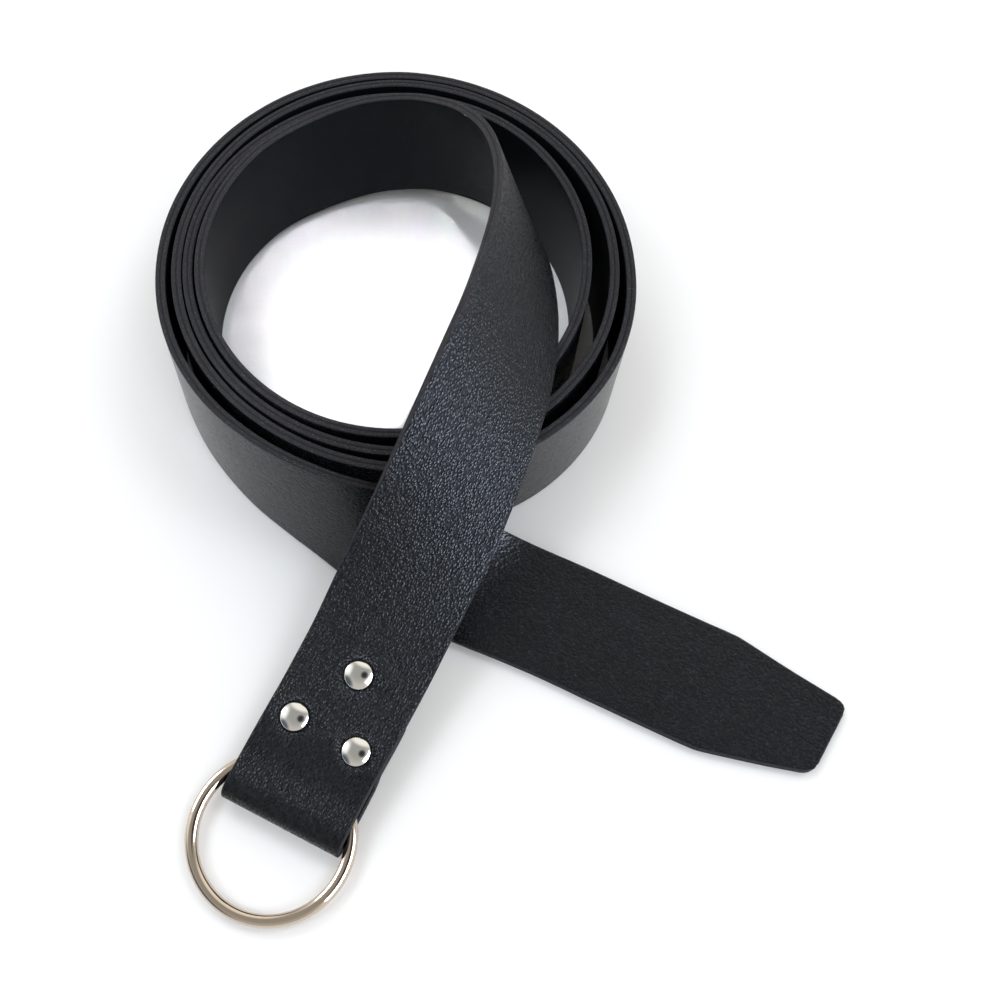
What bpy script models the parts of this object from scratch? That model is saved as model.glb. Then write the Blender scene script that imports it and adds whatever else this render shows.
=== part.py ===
"""A ring belt: one long leather strap that lies coiled on its edge, with a metal ring riveted into
one end and a tapered tip at the other. Metres, +Z up. The origin is under the middle of its box."""

import math

import bmesh
import bpy
import numpy as np
from mathutils import Matrix, Vector

MM = 0.001

# The strap, in millimetres.
STRAP_WIDTH = 40.0
STRAP_THICKNESS = 3.2
SECTION_STEP = 6.0

# The tip narrows from its shoulders to a straight cut with rounded corners.
# distance from the end, half width
TIP_OUTLINE = (
    (0.0, 9.4),
    (0.4, 10.9),
    (1.2, 12.0),
    (2.4, 12.8),
    (4.0, 13.3),
    (34.0, 19.4),
    (37.0, 19.9),
    (41.0, 20.0),
)
# The tip's end is cut a little out of square, which fades out this far from it.
TIP_SKEW = 0.14
TIP_SKEW_LENGTH = 16.0

# The ring and the fold of leather that holds it.
RING_WIRE = 4.0
RING_OUTER = 52.0
RING_BEYOND_FOLD = 3.5
RING_SIDEWAYS = 0.8
FOLD_CLEARANCE = 0.25
FOLD_SEGMENTS = 12
FOLD_DEPTH = 22.2
FOLD_CLOSED = 28.2
LAYER_GAP = 0.3

# The flap under the ring end, narrowed past its shoulders like the tip.
FLAP_LENGTH = 60.0
# distance from the flap's end, half width
FLAP_OUTLINE = (
    (0.0, 8.4),
    (0.5, 9.8),
    (1.6, 11.0),
    (3.2, 11.8),
    (14.5, 19.0),
    (17.5, 19.9),
    (20.0, 20.0),
)

# Three rivets in a triangle: distance from the fold, distance across to the strap's upper edge.
RIVET_PLACES = (
    ("rivet_top", 50.3, 0.0),
    ("rivet_left", 30.2, 10.8),
    ("rivet_right", 30.2, -10.8),
)
RIVET_CAP_RADIUS = 4.35
RIVET_CAP_HEIGHT = 1.5
RIVET_POST_RADIUS = 1.7
RIVET_BACK_RADIUS = 3.2
RIVET_BACK_HEIGHT = 0.9
RIVET_SEAT = 0.4
RIVET_BACK_SEAT = 0.7
RIVET_HOLE_CLEARANCE = 0.3

# Facets around the round pieces.
RING_SIDES = 64
WIRE_SIDES = 12
RIVET_SIDES = 20

# The tip end, from the tip to where it becomes the coil's outermost turn. Each row is one section:
# the centre of the grain face, the bearing that the width points to, and the width's slope up.
# x, y, height, bearing, slope
TIP_SECTIONS = (
    (135.6, -151.8, 3.2, 24, 0),
    (101.0, -136.2, 3.4, 24, 0),
    (71.6, -121.9, 3.6, 23, 1),
    (54.7, -113.5, 3.8, 22, 2),
    (37.3, -106.0, 5.0, 21, 5),
    (25.6, -101.9, 7.6, 22, 13),
    (14.0, -98.4, 11.7, 27, 27),
    (2.4, -94.9, 15.7, 35, 42),
    (-9.3, -90.7, 18.5, 45, 58),
    (-20.9, -85.5, 19.8, 56, 69),
    (-32.0, -79.2, 20.1, 65, 75),
    (-47.5, -67.9, 20.1, 79, 80),
    (-60.7, -54.1, 20.1, 100, 83),
)

# The coil seen from above. A bearing runs clockwise from the far side, as the strap does from the
# tip inwards. Each turn's radius is that of its grain face at the upper edge, and the lean is how
# far the lower edge stands outside the upper one.
# bearing, turn 1, turn 2, turn 3, turn 4, lean
COIL_SECTIONS = (
    (210, 80.7, 74.5, 70.3, 65.7, 1.6),
    (240, 79.2, 73.3, 69.4, 65.4, 2.5),
    (270, 78.5, 73.5, 69.8, 65.5, 2.6),
    (300, 79.3, 74.7, 70.7, 65.6, 0.9),
    (330, 80.8, 76.5, 70.9, 66.6, -1.8),
    (360, 81.0, 77.3, 71.2, 67.4, -2.6),
    (390, 78.8, 75.1, 69.7, 65.0, -1.6),
    (420, 77.3, 73.6, 66.6, 62.0, -0.5),
    (450, 78.2, 73.2, 64.4, 60.0, -0.3),
    (480, 81.4, 74.4, 64.7, 60.0, -1.0),
    (510, 81.9, 74.8, 66.3, 61.0, -0.6),
    (540, 78.2, 72.8, 66.6, 62.0, 0.3),
)
COIL_FIRST_BEARING = 240
COIL_LAST_BEARING = 1395
LAST_TURN_LIFT = 2.5

# The ring end, from the innermost turn through the curl, over the front of the coil and down to
# the fold. The columns are those of the tip end.
# x, y, height, bearing, slope
RING_SECTIONS = (
    (-31.1, 56.8, 22.7, 316, 87),
    (-9.0, 64.1, 24.2, 305, 84),
    (7.9, 62.2, 27.2, 295, 82),
    (22.2, 53.9, 32.4, 281, 80),
    (32.4, 41.2, 38.6, 277, 77),
    (39.0, 26.2, 44.8, 274, 73),
    (42.4, 9.9, 50.4, 272, 67),
    (42.8, -7.1, 54.3, 272, 61),
    (40.8, -24.4, 56.7, 273, 53),
    (37.0, -41.5, 57.6, 275, 45),
    (31.4, -58.1, 56.5, 278, 37),
    (24.8, -73.8, 52.5, 280, 31),
    (17.8, -88.2, 45.5, 284, 25),
    (10.2, -101.6, 36.8, 289, 18),
    (2.3, -114.7, 28.3, 293, 11),
    (-5.6, -128.7, 21.3, 296, 6),
    (-14.1, -143.4, 16.6, 297, 2),
    (-22.7, -158.6, 13.8, 297, 0),
    (-33.4, -179.4, 11.2, 297, 0),
)


def unit(vector):
    vector = np.asarray(vector, dtype=float)
    return vector / np.linalg.norm(vector)


def smooth_values(places, values, wanted):
    """Smooth curve through rows of values, with each row's slope taken from its two neighbours."""
    places = np.asarray(places, dtype=float)
    values = np.asarray(values, dtype=float)
    steps = np.diff(places)
    rises = np.diff(values, axis=0) / steps[:, None]
    slopes = np.empty_like(values)
    slopes[0] = rises[0]
    slopes[-1] = rises[-1]
    before = steps[:-1, None]
    after = steps[1:, None]
    slopes[1:-1] = (rises[:-1] * after + rises[1:] * before) / (before + after)
    row = np.clip(np.searchsorted(places, wanted, side="right") - 1, 0, len(steps) - 1)
    step = steps[row][:, None]
    part = ((wanted - places[row])[:, None]) / step
    from_here = 2 * part**3 - 3 * part**2 + 1
    to_next = 3 * part**2 - 2 * part**3
    leave = part**3 - 2 * part**2 + part
    arrive = part**3 - part**2
    here = from_here * values[row] + leave * step * slopes[row]
    there = to_next * values[row + 1] + arrive * step * slopes[row + 1]
    return here + there


def width_direction(bearing, slope):
    """Unit vector across the strap, from its lower edge to its upper edge."""
    turn = math.radians(bearing)
    rise = math.radians(slope)
    level = math.cos(rise)
    return (level * math.sin(turn), level * math.cos(turn), math.sin(rise))


def end_rows(sections):
    """Centres and width directions of the sections at one end of the strap."""
    centres = [row[:3] for row in sections]
    widths = [width_direction(row[3], row[4]) for row in sections]
    return centres, widths


def coil_rows():
    """Centres and width directions around the coil, every 15 degrees of winding."""
    table = np.array(COIL_SECTIONS, dtype=float)
    first = table[0, 0]
    # The turns follow one another, so the table is read as one long winding.
    bearings = []
    radii = []
    leans = []
    for turn in range(4):
        bearings.extend(table[:, 0] + 360 * turn)
        radii.extend(table[:, 1 + turn])
        leans.extend(table[:, 5])
    wanted = np.arange(COIL_FIRST_BEARING, COIL_LAST_BEARING + 1, 15.0)
    values = smooth_values(bearings, np.column_stack((radii, leans)), wanted)
    centres = []
    widths = []
    for bearing, (radius, lean) in zip(wanted, values):
        turn = math.radians(bearing)
        outward = np.array((math.sin(turn), math.cos(turn), 0.0))
        in_last_turn = (bearing - (first + 3 * 360)) / 90
        lift = LAST_TURN_LIFT * min(max(in_last_turn, 0.0), 1.0)
        rise = math.sqrt(STRAP_WIDTH**2 - lean**2)
        upper = outward * radius + np.array((0, 0, lift + rise))
        lower = outward * (radius + lean) + np.array((0, 0, lift))
        centres.append((upper + lower) / 2)
        widths.append(unit(upper - lower))
    return centres, widths


def strap_line():
    """Dense rows along the grain face: distance from the tip, centre, along, across and out."""
    centres = []
    widths = []
    for rows in (end_rows(TIP_SECTIONS), coil_rows(), end_rows(RING_SECTIONS)):
        centres.extend(rows[0])
        widths.extend(rows[1])
    centres = np.array(centres)
    widths = np.array(widths)
    chords = np.linalg.norm(np.diff(centres, axis=0), axis=1)
    places = np.concatenate(((0.0,), np.cumsum(chords)))
    wanted = np.linspace(0.0, places[-1], 2400)
    both = smooth_values(places, np.hstack((centres, widths)), wanted)
    centre = both[:, :3]
    along = np.gradient(centre, axis=0)
    along /= np.linalg.norm(along, axis=1)[:, None]
    across = both[:, 3:]
    across -= along * np.sum(across * along, axis=1)[:, None]
    across /= np.linalg.norm(across, axis=1)[:, None]
    out = np.cross(across, along)
    steps = np.linalg.norm(np.diff(centre, axis=0), axis=1)
    distance = np.concatenate(((0.0,), np.cumsum(steps)))
    return distance, centre, along, across, out


def station(line, place):
    """The strap's centre, along, across and out directions at a distance from the tip."""
    distance = line[0]
    values = []
    for column in line[1:]:
        values.append(np.array([np.interp(place, distance, column[:, axis]) for axis in range(3)]))
    return values[0], unit(values[1]), unit(values[2]), unit(values[3])


def outline(table, place):
    """Half width at a distance from a shaped end."""
    return float(np.interp(place, [row[0] for row in table], [row[1] for row in table]))


def fold_radius():
    return RING_WIRE / 2 + FOLD_CLEARANCE


def fold_reach():
    """How far the fold's outside stands past the axis that it turns about."""
    return fold_radius() + STRAP_THICKNESS


def layer_gap(back):
    """Gap between the strap and its flap, at a distance back from the fold."""
    opened = 2 * fold_radius()
    if back <= FOLD_DEPTH:
        return opened
    if back >= FOLD_CLOSED:
        return LAYER_GAP
    part = (back - FOLD_DEPTH) / (FOLD_CLOSED - FOLD_DEPTH)
    return LAYER_GAP + (opened - LAYER_GAP) * (1 - part) ** 2


def section(outer, inner, across, half):
    """Four corners of the strap, around from the grain face's upper edge."""
    return (
        outer + across * half,
        outer - across * half,
        inner - across * half,
        inner + across * half,
    )


def layer_places():
    """Distances back from the fold's start, where both the strap and its flap have a section."""
    flap = FLAP_LENGTH - fold_reach()
    places = set(np.round(np.linspace(0.0, flap, 19), 2))
    places |= set(np.round(np.arange(FOLD_DEPTH, FOLD_CLOSED + 0.1, 1.0) - fold_reach(), 2))
    places |= {round(flap - row[0], 2) for row in FLAP_OUTLINE}
    wanted = []
    for place in sorted(places):
        if not wanted or place - wanted[-1] > 0.3:
            wanted.append(place)
    return wanted


def strap_sections(line):
    """Every cross-section from the tip to the flap's end, and the first one past the fold."""
    fold_start = line[0][-1] - fold_reach()
    backs = layer_places()
    layered = [fold_start - back for back in reversed(backs)]
    tip_places = [row[0] for row in TIP_OUTLINE]
    coarse_count = math.ceil((layered[0] - tip_places[-1]) / SECTION_STEP)
    coarse = np.linspace(tip_places[-1], layered[0], coarse_count + 1)
    places = tip_places[:5] + list(np.linspace(tip_places[4], tip_places[5], 5)[1:])
    places += [tip_places[6]] + list(coarse) + layered[1:]
    sections = []
    for place in places:
        centre, along, across, out = station(line, place)
        half = outline(TIP_OUTLINE, place)
        across -= along * TIP_SKEW * max(0.0, 1 - place / TIP_SKEW_LENGTH)
        sections.append(section(centre, centre - out * STRAP_THICKNESS, across, half))

    # The fold turns half a turn about an axis across the strap.
    centre, along, across, out = station(line, fold_start)
    axis = centre - out * fold_reach()
    half = STRAP_WIDTH / 2
    for index in range(1, FOLD_SEGMENTS):
        angle = math.pi * index / FOLD_SEGMENTS
        spoke = out * math.cos(angle) + along * math.sin(angle)
        outer = axis + spoke * fold_reach()
        inner = axis + spoke * fold_radius()
        sections.append(section(outer, inner, across, half))
    past_fold = len(sections)

    # The flap runs back under the strap and closes onto it before the rivets.
    for back in backs:
        centre, along, across, out = station(line, fold_start - back)
        gap = layer_gap(back + fold_reach())
        ahead = layer_gap(back + fold_reach() + 0.4)
        behind = layer_gap(back + fold_reach() - 0.4)
        down = unit(-out + along * (ahead - behind) / 0.8)
        inner = centre - out * (STRAP_THICKNESS + gap)
        outer = inner + down * STRAP_THICKNESS
        half = outline(FLAP_OUTLINE, backs[-1] - back)
        sections.append(section(outer, inner, across, half))
    return np.array(sections), past_fold


def strap_faces(sections, past_fold):
    """Two triangles per side between neighbouring sections, and a cap at each end.

    The flap's diagonals run like those of the strap above it, so that the layers stay parallel
    where both of them twist.
    """
    faces = []
    for index in range(sections - 1):
        here = index * 4
        there = here + 4
        for corner in range(4):
            after = (corner + 1) % 4
            if index < past_fold:
                faces.append((here + corner, there + corner, there + after))
                faces.append((here + corner, there + after, here + after))
            else:
                faces.append((here + corner, there + corner, here + after))
                faces.append((there + corner, there + after, here + after))
    last = (sections - 1) * 4
    faces.append((0, 1, 2, 3))
    faces.append((last + 3, last + 2, last + 1, last))
    return faces


def new_material(name, colour, roughness, metallic):
    material = bpy.data.materials.new(name)
    material.use_nodes = True
    shader = material.node_tree.nodes["Principled BSDF"]
    shader.inputs["Base Color"].default_value = (*colour, 1.0)
    shader.inputs["Roughness"].default_value = roughness
    shader.inputs["Metallic"].default_value = metallic
    material.diffuse_color = (*colour, 1.0)
    return material


def new_object(name, points, faces, material):
    mesh = bpy.data.meshes.new(name)
    mesh.from_pydata([tuple(point) for point in points], [], faces)
    mesh.validate()
    mesh.update()
    mesh.shade_smooth()
    mesh.set_sharp_from_angle(angle=math.radians(35))
    thing = bpy.data.objects.new(name, mesh)
    bpy.context.scene.collection.objects.link(thing)
    mesh.materials.append(material)
    return thing


def spun_mesh(name, profile, sides, closed):
    """Mesh spun about Z from a profile of radius and height. A closed profile goes around a wire."""
    mesh = bpy.data.meshes.new(name)
    work = bmesh.new()
    corners = [work.verts.new((radius * MM, 0.0, height * MM)) for radius, height in profile]
    edges = [work.edges.new(pair) for pair in zip(corners, corners[1:])]
    if closed:
        edges.append(work.edges.new((corners[-1], corners[0])))
    bmesh.ops.spin(
        work,
        geom=corners + edges,
        cent=(0.0, 0.0, 0.0),
        axis=(0.0, 0.0, 1.0),
        angle=2 * math.pi,
        steps=sides,
        use_merge=True,
    )
    bmesh.ops.remove_doubles(work, verts=work.verts[:], dist=0.00001)
    bmesh.ops.recalc_face_normals(work, faces=work.faces[:])
    work.to_mesh(mesh)
    work.free()
    mesh.shade_smooth()
    mesh.set_sharp_from_angle(angle=math.radians(35))
    return mesh


def wire_profile():
    """The ring's round wire, at its distance from the ring's middle."""
    middle = (RING_OUTER - RING_WIRE) / 2
    rows = []
    for side in range(WIRE_SIDES):
        angle = 2 * math.pi * (side + 0.5) / WIRE_SIDES
        radius = middle + RING_WIRE / 2 * math.cos(angle)
        rows.append((radius, RING_WIRE / 2 * math.sin(angle)))
    return rows


def rivet_profile(grip):
    """Back cap, post and domed cap, as radius and height above the strap's grain face."""
    back = -grip - RIVET_BACK_SEAT
    rows = [
        (0.0, back - RIVET_BACK_HEIGHT),
        (RIVET_BACK_RADIUS - 0.4, back - RIVET_BACK_HEIGHT),
        (RIVET_BACK_RADIUS, back - RIVET_BACK_HEIGHT + 0.4),
        (RIVET_BACK_RADIUS, back),
        (RIVET_POST_RADIUS, back),
        (RIVET_POST_RADIUS, RIVET_SEAT),
        (RIVET_CAP_RADIUS, RIVET_SEAT),
    ]
    for step in range(1, 5):
        angle = math.pi / 2 * step / 5
        radius = RIVET_CAP_RADIUS * math.cos(angle)
        rows.append((radius, RIVET_SEAT + RIVET_CAP_HEIGHT * math.sin(angle)))
    rows.append((0.0, RIVET_SEAT + RIVET_CAP_HEIGHT))
    return rows


def place(name, mesh, where, side, forward, up):
    """Object of a mesh, with its X, Y and Z turned to three directions at a point in millimetres."""
    thing = bpy.data.objects.new(name, mesh)
    turned = Matrix((side, forward, up)).transposed().to_4x4()
    thing.matrix_world = Matrix.Translation(Vector(where) * MM) @ turned
    bpy.context.scene.collection.objects.link(thing)
    return thing


def cut(target, cutter):
    modifier = target.modifiers.new("hole_" + cutter.name, "BOOLEAN")
    modifier.operation = "DIFFERENCE"
    modifier.solver = "EXACT"
    modifier.object = cutter
    cutter.hide_render = True
    cutter.display_type = "WIRE"


def build():
    for thing in list(bpy.data.objects):
        bpy.data.objects.remove(thing, do_unlink=True)

    leather = new_material("black_grained_leather", (0.012, 0.013, 0.015), 0.5, 0.0)
    ring_metal = new_material("polished_nickel_ring", (0.62, 0.60, 0.56), 0.14, 1.0)
    cap_metal = new_material("polished_nickel_rivet", (0.66, 0.65, 0.63), 0.12, 1.0)

    line = strap_line()
    sections, past_fold = strap_sections(line)
    total = line[0][-1]
    centre, along, across, out = station(line, total - fold_reach())
    ring_middle = centre - out * fold_reach() + along * (fold_reach() + RING_BEYOND_FOLD)
    ring_middle += across * RING_SIDEWAYS

    # The origin goes under the middle of the whole object's box. The strap reaches lowest, and the
    # ring reaches past the strap on the near side.
    low = sections.min(axis=(0, 1))
    high = sections.max(axis=(0, 1))
    reach = (RING_OUTER - RING_WIRE) / 2 * np.sqrt(1 - out**2) + RING_WIRE / 2
    low = np.minimum(low, ring_middle - reach)
    high = np.maximum(high, ring_middle + reach)
    origin = np.array(((low[0] + high[0]) / 2, (low[1] + high[1]) / 2, low[2]))

    strap = new_object(
        "strap",
        (sections.reshape(-1, 3) - origin) * MM,
        strap_faces(len(sections), past_fold),
        leather,
    )

    ring_mesh = spun_mesh("ring", wire_profile(), RING_SIDES, True)
    ring_mesh.materials.append(ring_metal)
    place("ring", ring_mesh, ring_middle - origin, across, along, out)

    grip = 2 * STRAP_THICKNESS + LAYER_GAP
    rivet_mesh = spun_mesh("rivet", rivet_profile(grip), RIVET_SIDES, False)
    rivet_mesh.materials.append(cap_metal)
    hole = RIVET_POST_RADIUS + RIVET_HOLE_CLEARANCE
    bore = ((0.0, -grip - 4.0), (hole, -grip - 4.0), (hole, 4.0), (0.0, 4.0))
    bore_mesh = spun_mesh("rivet_bore", bore, RIVET_SIDES, False)
    for name, from_fold, sideways in RIVET_PLACES:
        middle, forward, width, up = station(line, total - from_fold)
        seat = middle + width * sideways - origin
        place(name, rivet_mesh, seat, width, forward, up)
        cut(strap, place("bore_" + name, bore_mesh, seat, width, forward, up))


build()
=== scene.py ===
"""The looks of a ring belt: a long black leather strap that lies coiled on its edge, with a nickel
ring riveted into one folded end and a tapered tip at the other. Metres, +Z up."""

import math

import bmesh
import bpy
import numpy as np
from mathutils import Matrix, Vector


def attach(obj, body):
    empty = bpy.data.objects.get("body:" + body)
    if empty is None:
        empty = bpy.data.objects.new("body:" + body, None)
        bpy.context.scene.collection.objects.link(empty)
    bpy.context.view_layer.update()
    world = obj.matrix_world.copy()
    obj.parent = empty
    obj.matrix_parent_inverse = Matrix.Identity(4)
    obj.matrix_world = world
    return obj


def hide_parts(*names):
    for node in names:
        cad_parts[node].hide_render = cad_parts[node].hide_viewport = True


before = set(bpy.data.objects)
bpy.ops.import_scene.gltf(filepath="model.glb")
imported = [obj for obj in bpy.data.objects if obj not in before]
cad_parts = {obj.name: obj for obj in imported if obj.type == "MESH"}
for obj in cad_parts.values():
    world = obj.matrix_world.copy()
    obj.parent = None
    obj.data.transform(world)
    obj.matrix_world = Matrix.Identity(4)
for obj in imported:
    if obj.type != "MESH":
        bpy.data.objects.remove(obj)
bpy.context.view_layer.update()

# The strap is one long strip of black embossed leather, two layers bonded back to back and cut
# 40 mm wide, with raw edges. It lies coiled on edge, and its ring end twists over the coil, folds
# under around the ring and is closed by three rivets.

MM = 0.001
STRAP_WIDTH = 40.0
STRAP_THICKNESS = 3.2
CORNER_RADIUS = 0.35
BOND_GROOVE_DEPTH = 0.14
BOND_GROOVE_HALF = 0.2
EDGE_WANDER = 0.12
EDGE_WANDER_LENGTH = 7.0
FACE_COLUMNS = 36
LINE_POINTS = 16000
# Where the coil's middle stands in the frame.
COIL_MIDDLE = np.array((-29.9785, 63.2731, 0.2673))

# The tip narrows from its shoulders to a straight cut with rounded corners.
# distance from the end, half width
TIP_OUTLINE = (
    (0.0, 9.4),
    (0.4, 10.9),
    (1.2, 12.0),
    (2.4, 12.8),
    (4.0, 13.3),
    (34.0, 19.4),
    (37.0, 19.9),
    (41.0, 20.0),
)
# How far the rounded corners and the shoulders reach from the end.
TIP_CORNERS = 4.0
TIP_SHOULDERS = 42.0
# The cut runs a little aslant.
TIP_SKEW = 0.14
TIP_SKEW_LENGTH = 16.0
# The last stretch before the fold, where the sections stand close together.
RING_END_LENGTH = 80.0
# Each cut end is rounded over, and drawn in where it closes.
END_ROUNDING = 0.25
END_PINCH = 0.16
END_DRAWN_IN = 1.2

# The fold of leather that holds the ring's wire.
RING_WIRE = 4.0
FOLD_CLEARANCE = 0.25
FOLD_DEPTH = 22.2
FOLD_CLOSED = 28.2
FOLD_STEPS = 24
LAYER_GAP = 0.3
FLAP_LENGTH = 60.0
FLAP_CORNERS = 3.2
# distance from the flap's end, half width
FLAP_OUTLINE = (
    (0.0, 8.4),
    (0.5, 9.8),
    (1.6, 11.0),
    (3.2, 11.8),
    (14.5, 19.0),
    (17.5, 19.9),
    (20.0, 20.0),
)
# The rivets press the leather in: distance back from the fold, distance across to the upper edge.
RIVET_PLACES = ((50.3, 0.0), (30.2, 10.8), (30.2, -10.8))
RIVET_DISH_FLAT = 3.6
RIVET_DISH_RADIUS = 6.4
RIVET_DISH_DEPTH = 0.34

# The tip end, from the tip to the coil's outermost turn, around the coil's middle: the centre of
# the grain face, the bearing that the width points to, and the width's slope up.
# x, y, height, bearing, slope
TIP_SECTIONS = (
    (135.6, -151.8, 3.2, 24, 0),
    (101.0, -136.2, 3.4, 24, 0),
    (71.6, -121.9, 3.6, 23, 1),
    (54.7, -113.5, 3.8, 22, 2),
    (37.3, -106.0, 5.0, 21, 5),
    (25.6, -101.9, 7.6, 22, 13),
    (14.0, -98.4, 11.7, 27, 27),
    (2.4, -94.9, 15.7, 35, 42),
    (-9.3, -90.7, 18.5, 45, 58),
    (-20.9, -85.5, 19.8, 56, 69),
    (-32.0, -79.2, 20.1, 65, 75),
    (-47.5, -67.9, 20.1, 79, 80),
    (-60.7, -54.1, 20.1, 100, 83),
)
# The coil: the radius of each turn's grain face at its upper edge, and how far the lower edge
# stands outside the upper one. A bearing runs clockwise from the far side.
# bearing, turn 1, turn 2, turn 3, turn 4, lean
COIL_SECTIONS = (
    (210, 80.7, 74.5, 70.3, 65.7, 1.6),
    (240, 79.2, 73.3, 69.4, 65.4, 2.5),
    (270, 78.5, 73.5, 69.8, 65.5, 2.6),
    (300, 79.3, 74.7, 70.7, 65.6, 0.9),
    (330, 80.8, 76.5, 70.9, 66.6, -1.8),
    (360, 81.0, 77.3, 71.2, 67.4, -2.6),
    (390, 78.8, 75.1, 69.7, 65.0, -1.6),
    (420, 77.3, 73.6, 66.6, 62.0, -0.5),
    (450, 78.2, 73.2, 64.4, 60.0, -0.3),
    (480, 81.4, 74.4, 64.7, 60.0, -1.0),
    (510, 81.9, 74.8, 66.3, 61.0, -0.6),
    (540, 78.2, 72.8, 66.6, 62.0, 0.3),
)
COIL_TURNS = 4
COIL_FIRST_BEARING = 240
COIL_LAST_BEARING = 1395
COIL_BEARING_STEP = 15.0
# The last turn starts to rise out of the coil, over a quarter turn.
LAST_TURN_LIFT = 2.5
LAST_TURN_LIFT_ARC = 90
# The ring end, from the innermost turn through the curl and over the coil down to the fold.
# x, y, height, bearing, slope
RING_SECTIONS = (
    (-31.1, 56.8, 22.7, 316, 87),
    (-9.0, 64.1, 24.2, 305, 84),
    (7.9, 62.2, 27.2, 295, 82),
    (22.2, 53.9, 32.4, 281, 80),
    (32.4, 41.2, 38.6, 277, 77),
    (39.0, 26.2, 44.8, 274, 73),
    (42.4, 9.9, 50.4, 272, 67),
    (42.8, -7.1, 54.3, 272, 61),
    (40.8, -24.4, 56.7, 273, 53),
    (37.0, -41.5, 57.6, 275, 45),
    (31.4, -58.1, 56.5, 278, 37),
    (24.8, -73.8, 52.5, 280, 31),
    (17.8, -88.2, 45.5, 284, 25),
    (10.2, -101.6, 36.8, 289, 18),
    (2.3, -114.7, 28.3, 293, 11),
    (-5.6, -128.7, 21.3, 296, 6),
    (-14.1, -143.4, 16.6, 297, 2),
    (-22.7, -158.6, 13.8, 297, 0),
    (-33.4, -179.4, 11.2, 297, 0),
)


def smooth_values(places, values, wanted):
    """Smooth curve through rows of values, with each row's slope taken from its two neighbours."""
    places = np.asarray(places, dtype=float)
    values = np.asarray(values, dtype=float)
    steps = np.diff(places)
    rises = np.diff(values, axis=0) / steps[:, None]
    slopes = np.empty_like(values)
    slopes[0] = rises[0]
    slopes[-1] = rises[-1]
    before = steps[:-1, None]
    after = steps[1:, None]
    slopes[1:-1] = (rises[:-1] * after + rises[1:] * before) / (before + after)
    row = np.clip(np.searchsorted(places, wanted, side="right") - 1, 0, len(steps) - 1)
    step = steps[row][:, None]
    part = (wanted - places[row])[:, None] / step
    from_here = 2 * part**3 - 3 * part**2 + 1
    to_next = 3 * part**2 - 2 * part**3
    leave = part**3 - 2 * part**2 + part
    arrive = part**3 - part**2
    here = from_here * values[row] + leave * step * slopes[row]
    there = to_next * values[row + 1] + arrive * step * slopes[row + 1]
    return here + there


def end_rows(sections):
    """Centres and width directions of the sections at one end of the strap."""
    table = np.array(sections, dtype=float)
    bearing = np.radians(table[:, 3])
    slope = np.radians(table[:, 4])
    level = np.cos(slope)
    widths = np.column_stack((level * np.sin(bearing), level * np.cos(bearing), np.sin(slope)))
    return table[:, :3], widths


def coil_rows():
    """Centres and width directions around the coil."""
    table = np.array(COIL_SECTIONS, dtype=float)
    bearings = np.concatenate([table[:, 0] + 360 * turn for turn in range(COIL_TURNS)])
    radii = np.concatenate([table[:, 1 + turn] for turn in range(COIL_TURNS)])
    leans = np.tile(table[:, -1], COIL_TURNS)
    wanted = np.arange(COIL_FIRST_BEARING, COIL_LAST_BEARING + 1, COIL_BEARING_STEP)
    radius, lean = smooth_values(bearings, np.column_stack((radii, leans)), wanted).T
    turn = np.radians(wanted)
    outward = np.column_stack((np.sin(turn), np.cos(turn), np.zeros(len(turn))))
    last_turn = table[0, 0] + (COIL_TURNS - 1) * 360
    lift = LAST_TURN_LIFT * np.clip((wanted - last_turn) / LAST_TURN_LIFT_ARC, 0, 1)
    rise = np.sqrt(STRAP_WIDTH**2 - lean**2)
    upright = np.array((0.0, 0.0, 1.0))
    upper = outward * radius[:, None] + upright * (lift + rise)[:, None]
    lower = outward * (radius + lean)[:, None] + upright * lift[:, None]
    widths = (upper - lower) / np.linalg.norm(upper - lower, axis=1)[:, None]
    return (upper + lower) / 2, widths


def strap_line():
    """Dense rows along the grain face: distance from the tip, centre, along, across and out."""
    parts = (end_rows(TIP_SECTIONS), coil_rows(), end_rows(RING_SECTIONS))
    centres = np.vstack([part[0] for part in parts])
    widths = np.vstack([part[1] for part in parts])
    chords = np.linalg.norm(np.diff(centres, axis=0), axis=1)
    places = np.concatenate(((0.0,), np.cumsum(chords)))
    wanted = np.linspace(0.0, places[-1], LINE_POINTS)
    both = smooth_values(places, np.hstack((centres, widths)), wanted)
    centre = both[:, :3] + COIL_MIDDLE
    along = np.gradient(centre, axis=0)
    along /= np.linalg.norm(along, axis=1)[:, None]
    across = both[:, 3:]
    across -= along * np.sum(across * along, axis=1)[:, None]
    across /= np.linalg.norm(across, axis=1)[:, None]
    out = np.cross(across, along)
    steps = np.linalg.norm(np.diff(centre, axis=0), axis=1)
    distance = np.concatenate(((0.0,), np.cumsum(steps)))
    return distance, centre, along, across, out


LINE = strap_line()
STRAP_LENGTH = LINE[0][-1]
FOLD_INSIDE = RING_WIRE / 2 + FOLD_CLEARANCE
FOLD_OUTSIDE = FOLD_INSIDE + STRAP_THICKNESS
FOLD_START = STRAP_LENGTH - FOLD_OUTSIDE
FLAP_START = FOLD_START + math.pi * FOLD_OUTSIDE


def station(place):
    """The strap's centre, along, across and out directions at a distance from the tip."""
    values = []
    for column in LINE[1:]:
        values.append(np.array([np.interp(place, LINE[0], column[:, axis]) for axis in range(3)]))
    directions = [value / np.linalg.norm(value) for value in values[1:]]
    return values[0], *directions


def half_width(table, place):
    return float(np.interp(place, [row[0] for row in table], [row[1] for row in table]))


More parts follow.
